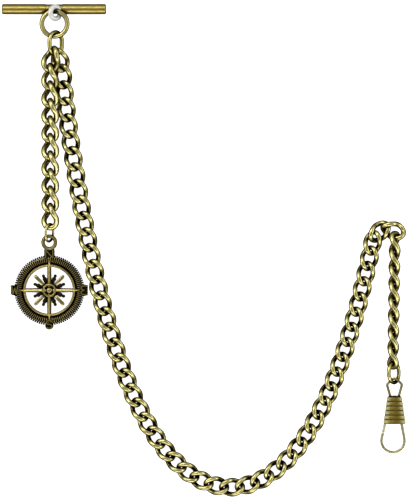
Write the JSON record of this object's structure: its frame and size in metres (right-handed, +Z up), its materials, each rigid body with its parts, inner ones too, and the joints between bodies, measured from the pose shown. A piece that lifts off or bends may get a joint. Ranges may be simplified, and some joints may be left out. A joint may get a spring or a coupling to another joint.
{
  "type": "pocket watch chain",
  "caption": "Antique brass pocket watch chain: T-bar and ring, long curb chain to a spring hook clasp, and a short fob chain with a compass charm",
  "frame": {"origin": "middle of the footprint of the laid-out chain, on the table (z = 0)", "axes": "+X to the right along the T-bar; +Y up the chain, from its hanging loop towards the T-bar; +Z up from the table, towards a viewer who looks down on it. The chain lies flat in the shape in which it hangs when worn."},
  "size_m": [0.128, 0.1562, 0.0074],
  "materials": {
    "chain_brass": "antiqued satin, dark in the recesses",
    "bar_brass": "antiqued satin",
    "pale_eye": "polished, silvery",
    "charm_bronze": "dark antiqued cast relief, brighter on the high edges",
    "clasp_brass": "antiqued satin",
    "pin_brass": "lightly polished",
    "spring_steel": "bright wire"
  },
  "bodies": {
    "t_bar": {"t_bar": "bar_brass", "t_bar_eye": "pale_eye"},
    "bar_ring": {"bar_ring": "chain_brass"},
    "small_ring": {"small_ring": "chain_brass"},
    "fob_link_01": {"fob_link_01": "chain_brass"},
    "fob_link_02": {"fob_link_02": "chain_brass"},
    "fob_link_03": {"fob_link_03": "chain_brass"},
    "fob_link_04": {"fob_link_04": "chain_brass"},
    "fob_link_05": {"fob_link_05": "chain_brass"},
    "fob_link_06": {"fob_link_06": "chain_brass"},
    "fob_link_07": {"fob_link_07": "chain_brass"},
    "fob_link_08": {"fob_link_08": "chain_brass"},
    "fob_link_09": {"fob_link_09": "chain_brass"},
    "fob_link_10": {"fob_link_10": "chain_brass"},
    "fob_jump_ring": {"fob_jump_ring": "chain_brass"},
    "compass_charm": {"compass_charm": "charm_bronze"},
    "main_link_01": {"main_link_01": "chain_brass"},
    "main_links_02_03": {"main_links_02_03": "chain_brass"},
    "main_links_04_05": {"main_links_04_05": "chain_brass"},
    "main_links_06_07": {"main_links_06_07": "chain_brass"},
    "main_links_08_09": {"main_links_08_09": "chain_brass"},
    "main_links_10_11": {"main_links_10_11": "chain_brass"},
    "main_links_12_13": {"main_links_12_13": "chain_brass"},
    "main_links_14_15": {"main_links_14_15": "chain_brass"},
    "main_links_16_17": {"main_links_16_17": "chain_brass"},
    "main_links_18_19": {"main_links_18_19": "chain_brass"},
    "main_links_20_21": {"main_links_20_21": "chain_brass"},
    "main_links_22_23": {"main_links_22_23": "chain_brass"},
    "main_links_24_25": {"main_links_24_25": "chain_brass"},
    "main_links_26_27": {"main_links_26_27": "chain_brass"},
    "main_links_28_29": {"main_links_28_29": "chain_brass"},
    "main_links_30_31": {"main_links_30_31": "chain_brass"},
    "main_links_32_33": {"main_links_32_33": "chain_brass"},
    "main_links_34_35": {"main_links_34_35": "chain_brass"},
    "main_links_36_37": {"main_links_36_37": "chain_brass"},
    "main_links_38_39": {"main_links_38_39": "chain_brass"},
    "main_links_40_41": {"main_links_40_41": "chain_brass"},
    "main_links_42_43": {"main_links_42_43": "chain_brass"},
    "main_links_44_45": {"main_links_44_45": "chain_brass"},
    "main_links_46_47": {"main_links_46_47": "chain_brass"},
    "main_links_48_49": {"main_links_48_49": "chain_brass"},
    "main_link_50": {"main_link_50": "chain_brass"},
    "bend_link_1": {"bend_link_1": "chain_brass"},
    "bend_link_2": {"bend_link_2": "chain_brass"},
    "drop_link_1": {"drop_link_1": "chain_brass"},
    "drop_link_2": {"drop_link_2": "chain_brass"},
    "drop_link_3": {"drop_link_3": "chain_brass"},
    "drop_link_4": {"drop_link_4": "chain_brass"},
    "drop_link_5": {"drop_link_5": "chain_brass"},
    "drop_link_6": {"drop_link_6": "chain_brass"},
    "drop_link_7": {"drop_link_7": "chain_brass"},
    "drop_link_8": {"drop_link_8": "chain_brass"},
    "end_ring": {"end_ring": "chain_brass"},
    "clasp": {"clasp_bail": "clasp_brass", "clasp_sleeve": "clasp_brass", "gate_pin": "pin_brass"},
    "hook": {"clasp_hook": "clasp_brass", "clasp_spring": "spring_steel"}
  },
  "joints": [
    {"name": "bar_ring_swing", "type": "hinge", "parent": "t_bar", "child": "bar_ring", "pos_m": [-0.04712, 0.0745, 0.00392], "axis": [0, 0, 1], "range_deg": [-8, 8]},
    {"name": "small_ring_swing", "type": "hinge", "parent": "bar_ring", "child": "small_ring", "pos_m": [-0.04704, 0.06837, 0.00383], "axis": [0, 0, 1], "range_deg": [-1.5, 2.5]},
    {"name": "fob_link_01_swing", "type": "hinge", "parent": "small_ring", "child": "fob_link_01", "pos_m": [-0.04749, 0.06303, 0.00427], "axis": [0, 0, 1], "range_deg": [-5, 0]},
    {"name": "fob_link_02_swing", "type": "hinge", "parent": "fob_link_01", "child": "fob_link_02", "pos_m": [-0.04837, 0.05774, 0.00443], "axis": [0, 0, 1], "range_deg": [-8, 0]},
    {"name": "fob_link_03_swing", "type": "hinge", "parent": "fob_link_02", "child": "fob_link_03", "pos_m": [-0.04863, 0.05222, 0.00364], "axis": [0, 0, 1], "range_deg": [-8, 0]},
    {"name": "fob_link_04_swing", "type": "hinge", "parent": "fob_link_03", "child": "fob_link_04", "pos_m": [-0.04863, 0.04669, 0.0032], "axis": [0, 0, 1], "range_deg": [-8, 0]},
    {"name": "fob_link_05_swing", "type": "hinge", "parent": "fob_link_04", "child": "fob_link_05", "pos_m": [-0.04863, 0.04115, 0.00313], "axis": [0, 0, 1], "range_deg": [-8, 0]},
    {"name": "fob_link_06_swing", "type": "hinge", "parent": "fob_link_05", "child": "fob_link_06", "pos_m": [-0.04863, 0.03561, 0.00306], "axis": [0, 0, 1], "range_deg": [-8, 0]},
    {"name": "fob_link_07_swing", "type": "hinge", "parent": "fob_link_06", "child": "fob_link_07", "pos_m": [-0.04863, 0.03007, 0.00299], "axis": [0, 0, 1], "range_deg": [-8, 0]},
    {"name": "fob_link_08_swing", "type": "hinge", "parent": "fob_link_07", "child": "fob_link_08", "pos_m": [-0.04863, 0.02453, 0.00292], "axis": [0, 0, 1], "range_deg": [-8, 0]},
    {"name": "fob_link_09_swing", "type": "hinge", "parent": "fob_link_08", "child": "fob_link_09", "pos_m": [-0.04863, 0.01899, 0.00285], "axis": [0, 0, 1], "range_deg": [-8, 0]},
    {"name": "fob_link_10_swing", "type": "hinge", "parent": "fob_link_09", "child": "fob_link_10", "pos_m": [-0.04863, 0.01345, 0.00278], "axis": [0, 0, 1], "range_deg": [-8, 0]},
    {"name": "fob_jump_ring_swing", "type": "hinge", "parent": "fob_link_10", "child": "fob_jump_ring", "pos_m": [-0.04879, 0.00776, 0.00257], "axis": [0, 0, 1], "range_deg": [-6, 0]},
    {"name": "compass_charm_swing", "type": "hinge", "parent": "fob_jump_ring", "child": "compass_charm", "pos_m": [-0.04885, 0.00418, 0.0015], "axis": [0, 0, 1], "range_deg": [-6, 0]},
    {"name": "main_link_01_swing", "type": "hinge", "parent": "small_ring", "child": "main_link_01", "pos_m": [-0.04624, 0.06292, 0.00311], "axis": [0, 0, 1], "range_deg": [0, 6]},
    {"name": "main_links_02_03_swing", "type": "hinge", "parent": "main_link_01", "child": "main_links_02_03", "pos_m": [-0.04515, 0.05771, 0.00222], "axis": [0, 0, 1], "range_deg": [0, 6]},
    {"name": "main_links_04_05_swing", "type": "hinge", "parent": "main_links_02_03", "child": "main_links_04_05", "pos_m": [-0.04388, 0.04722, 0.00175], "axis": [0, 0, 1], "range_deg": [0, 8]},
    {"name": "main_links_06_07_swing", "type": "hinge", "parent": "main_links_04_05", "child": "main_links_06_07", "pos_m": [-0.04252, 0.03679, 0.00175], "axis": [0, 0, 1], "range_deg": [0, 8]},
    {"name": "main_links_08_09_swing", "type": "hinge", "parent": "main_links_06_07", "child": "main_links_08_09", "pos_m": [-0.04095, 0.02642, 0.00175], "axis": [0, 0, 1], "range_deg": [0, 8]},
    {"name": "main_links_10_11_swing", "type": "hinge", "parent": "main_links_08_09", "child": "main_links_10_11", "pos_m": [-0.0392, 0.01612, 0.00175], "axis": [0, 0, 1], "range_deg": [0, 8]},
    {"name": "main_links_12_13_swing", "type": "hinge", "parent": "main_links_10_11", "child": "main_links_12_13", "pos_m": [-0.03727, 0.00589, 0.00175], "axis": [0, 0, 1], "range_deg": [0, 8]},
    {"name": "main_links_14_15_swing", "type": "hinge", "parent": "main_links_12_13", "child": "main_links_14_15", "pos_m": [-0.03513, -0.00425, 0.00175], "axis": [0, 0, 1], "range_deg": [0, 8]},
    {"name": "main_links_16_17_swing", "type": "hinge", "parent": "main_links_14_15", "child": "main_links_16_17", "pos_m": [-0.03274, -0.0143, 0.00175], "axis": [0, 0, 1], "range_deg": [0, 8]},
    {"name": "main_links_18_19_swing", "type": "hinge", "parent": "main_links_16_17", "child": "main_links_18_19", "pos_m": [-0.03004, -0.02423, 0.00175], "axis": [0, 0, 1], "range_deg": [-8, 8]},
    {"name": "main_links_20_21_swing", "type": "hinge", "parent": "main_links_18_19", "child": "main_links_20_21", "pos_m": [-0.02695, -0.034, 0.00175], "axis": [0, 0, -1], "range_deg": [-8, 8]},
    {"name": "main_links_22_23_swing", "type": "hinge", "parent": "main_links_20_21", "child": "main_links_22_23", "pos_m": [-0.02334, -0.04354, 0.00175], "axis": [0, 0, 1], "range_deg": [-8, 8]},
    {"name": "main_links_24_25_swing", "type": "hinge", "parent": "main_links_22_23", "child": "main_links_24_25", "pos_m": [-0.01902, -0.05273, 0.00175], "axis": [0, 0, -1], "range_deg": [-8, 8]},
    {"name": "main_links_26_27_swing", "type": "hinge", "parent": "main_links_24_25", "child": "main_links_26_27", "pos_m": [-0.01369, -0.06131, 0.00175], "axis": [0, 0, 1], "range_deg": [-8, 8]},
    {"name": "main_links_28_29_swing", "type": "hinge", "parent": "main_links_26_27", "child": "main_links_28_29", "pos_m": [-0.00693, -0.06874, 0.00175], "axis": [0, 0, -1], "range_deg": [-8, 8]},
    {"name": "main_links_30_31_swing", "type": "hinge", "parent": "main_links_28_29", "child": "main_links_30_31", "pos_m": [0.00162, -0.07381, 0.00175], "axis": [0, 0, 1], "range_deg": [-8, 8]},
    {"name": "main_links_32_33_swing", "type": "hinge", "parent": "main_links_30_31", "child": "main_links_32_33", "pos_m": [0.0114, -0.07478, 0.00175], "axis": [0, 0, -1], "range_deg": [-8, 8]},
    {"name": "main_links_34_35_swing", "type": "hinge", "parent": "main_links_32_33", "child": "main_links_34_35", "pos_m": [0.02056, -0.0712, 0.00175], "axis": [0, 0, 1], "range_deg": [-8, 8]},
    {"name": "main_links_36_37_swing", "type": "hinge", "parent": "main_links_34_35", "child": "main_links_36_37", "pos_m": [0.02798, -0.06461, 0.00175], "axis": [0, 0, -1], "range_deg": [-8, 8]},
    {"name": "main_links_38_39_swing", "type": "hinge", "parent": "main_links_36_37", "child": "main_links_38_39", "pos_m": [0.03379, -0.05653, 0.00175], "axis": [0, 0, 1], "range_deg": [-8, 8]},
    {"name": "main_links_40_41_swing", "type": "hinge", "parent": "main_links_38_39", "child": "main_links_40_41", "pos_m": [0.03843, -0.04771, 0.00176], "axis": [0, 0, -1], "range_deg": [-8, 8]},
    {"name": "main_links_42_43_swing", "type": "hinge", "parent": "main_links_40_41", "child": "main_links_42_43", "pos_m": [0.04226, -0.0385, 0.00177], "axis": [0, 0, 1], "range_deg": [-8, 8]},
    {"name": "main_links_44_45_swing", "type": "hinge", "parent": "main_links_42_43", "child": "main_links_44_45", "pos_m": [0.0455, -0.02907, 0.00179], "axis": [0, 0, -1], "range_deg": [-8, 8]},
    {"name": "main_links_46_47_swing", "type": "hinge", "parent": "main_links_44_45", "child": "main_links_46_47", "pos_m": [0.0483, -0.01949, 0.00185], "axis": [0, 0, 1], "range_deg": [-8, 8]},
    {"name": "main_links_48_49_swing", "type": "hinge", "parent": "main_links_46_47", "child": "main_links_48_49", "pos_m": [0.05076, -0.00983, 0.002], "axis": [0, 0, -1], "range_deg": [-8, 8]},
    {"name": "main_link_50_swing", "type": "hinge", "parent": "main_links_48_49", "child": "main_link_50", "pos_m": [0.05296, -0.0001, 0.00236], "axis": [0, 0, 1], "range_deg": [-8, 8]},
    {"name": "bend_link_1_swing", "type": "hinge", "parent": "main_link_50", "child": "bend_link_1", "pos_m": [0.05453, 0.00408, 0.00247], "axis": [0, 0, 1], "range_deg": [0, 6]},
    {"name": "bend_link_2_swing", "type": "hinge", "parent": "bend_link_1", "child": "bend_link_2", "pos_m": [0.05771, 0.00607, 0.00268], "axis": [0, 0, 1], "range_deg": [-2, 6]},
    {"name": "drop_link_1_swing", "type": "hinge", "parent": "bend_link_2", "child": "drop_link_1", "pos_m": [0.0602, 0.00452, 0.00296], "axis": [0, 0, 1], "range_deg": [-3, 8]},
    {"name": "drop_link_2_swing", "type": "hinge", "parent": "drop_link_1", "child": "drop_link_2", "pos_m": [0.06047, -0.00057, 0.003], "axis": [0, 0, -1], "range_deg": [-8, 8]},
    {"name": "drop_link_3_swing", "type": "hinge", "parent": "drop_link_2", "child": "drop_link_3", "pos_m": [0.06039, -0.00566, 0.003], "axis": [0, 0, 1], "range_deg": [-8, 8]},
    {"name": "drop_link_4_swing", "type": "hinge", "parent": "drop_link_3", "child": "drop_link_4", "pos_m": [0.06031, -0.01075, 0.003], "axis": [0, 0, -1], "range_deg": [-8, 8]},
    {"name": "drop_link_5_swing", "type": "hinge", "parent": "drop_link_4", "child": "drop_link_5", "pos_m": [0.06023, -0.01584, 0.003], "axis": [0, 0, 1], "range_deg": [-8, 8]},
    {"name": "drop_link_6_swing", "type": "hinge", "parent": "drop_link_5", "child": "drop_link_6", "pos_m": [0.06016, -0.02093, 0.003], "axis": [0, 0, -1], "range_deg": [-8, 8]},
    {"name": "drop_link_7_swing", "type": "hinge", "parent": "drop_link_6", "child": "drop_link_7", "pos_m": [0.06008, -0.02602, 0.003], "axis": [0, 0, 1], "range_deg": [-8, 8]},
    {"name": "drop_link_8_swing", "type": "hinge", "parent": "drop_link_7", "child": "drop_link_8", "pos_m": [0.06, -0.03111, 0.003], "axis": [0, 0, -1], "range_deg": [-8, 8]},
    {"name": "end_ring_swing", "type": "hinge", "parent": "drop_link_8", "child": "end_ring", "pos_m": [0.06007, -0.03631, 0.0034], "axis": [0, 0, 1], "range_deg": [-5, 8]},
    {"name": "clasp_swing", "type": "hinge", "parent": "end_ring", "child": "clasp", "pos_m": [0.06028, -0.04109, 0.00372], "axis": [0, 0, 1], "range_deg": [-4, 3]},
    {"name": "hook_slide", "type": "slide", "parent": "clasp", "child": "hook", "axis": [0.1805, -0.9836, 0], "range_m": [0, 0.003], "stiffness_N_per_m": 400, "deforming": ["clasp_spring"]}
  ]
}
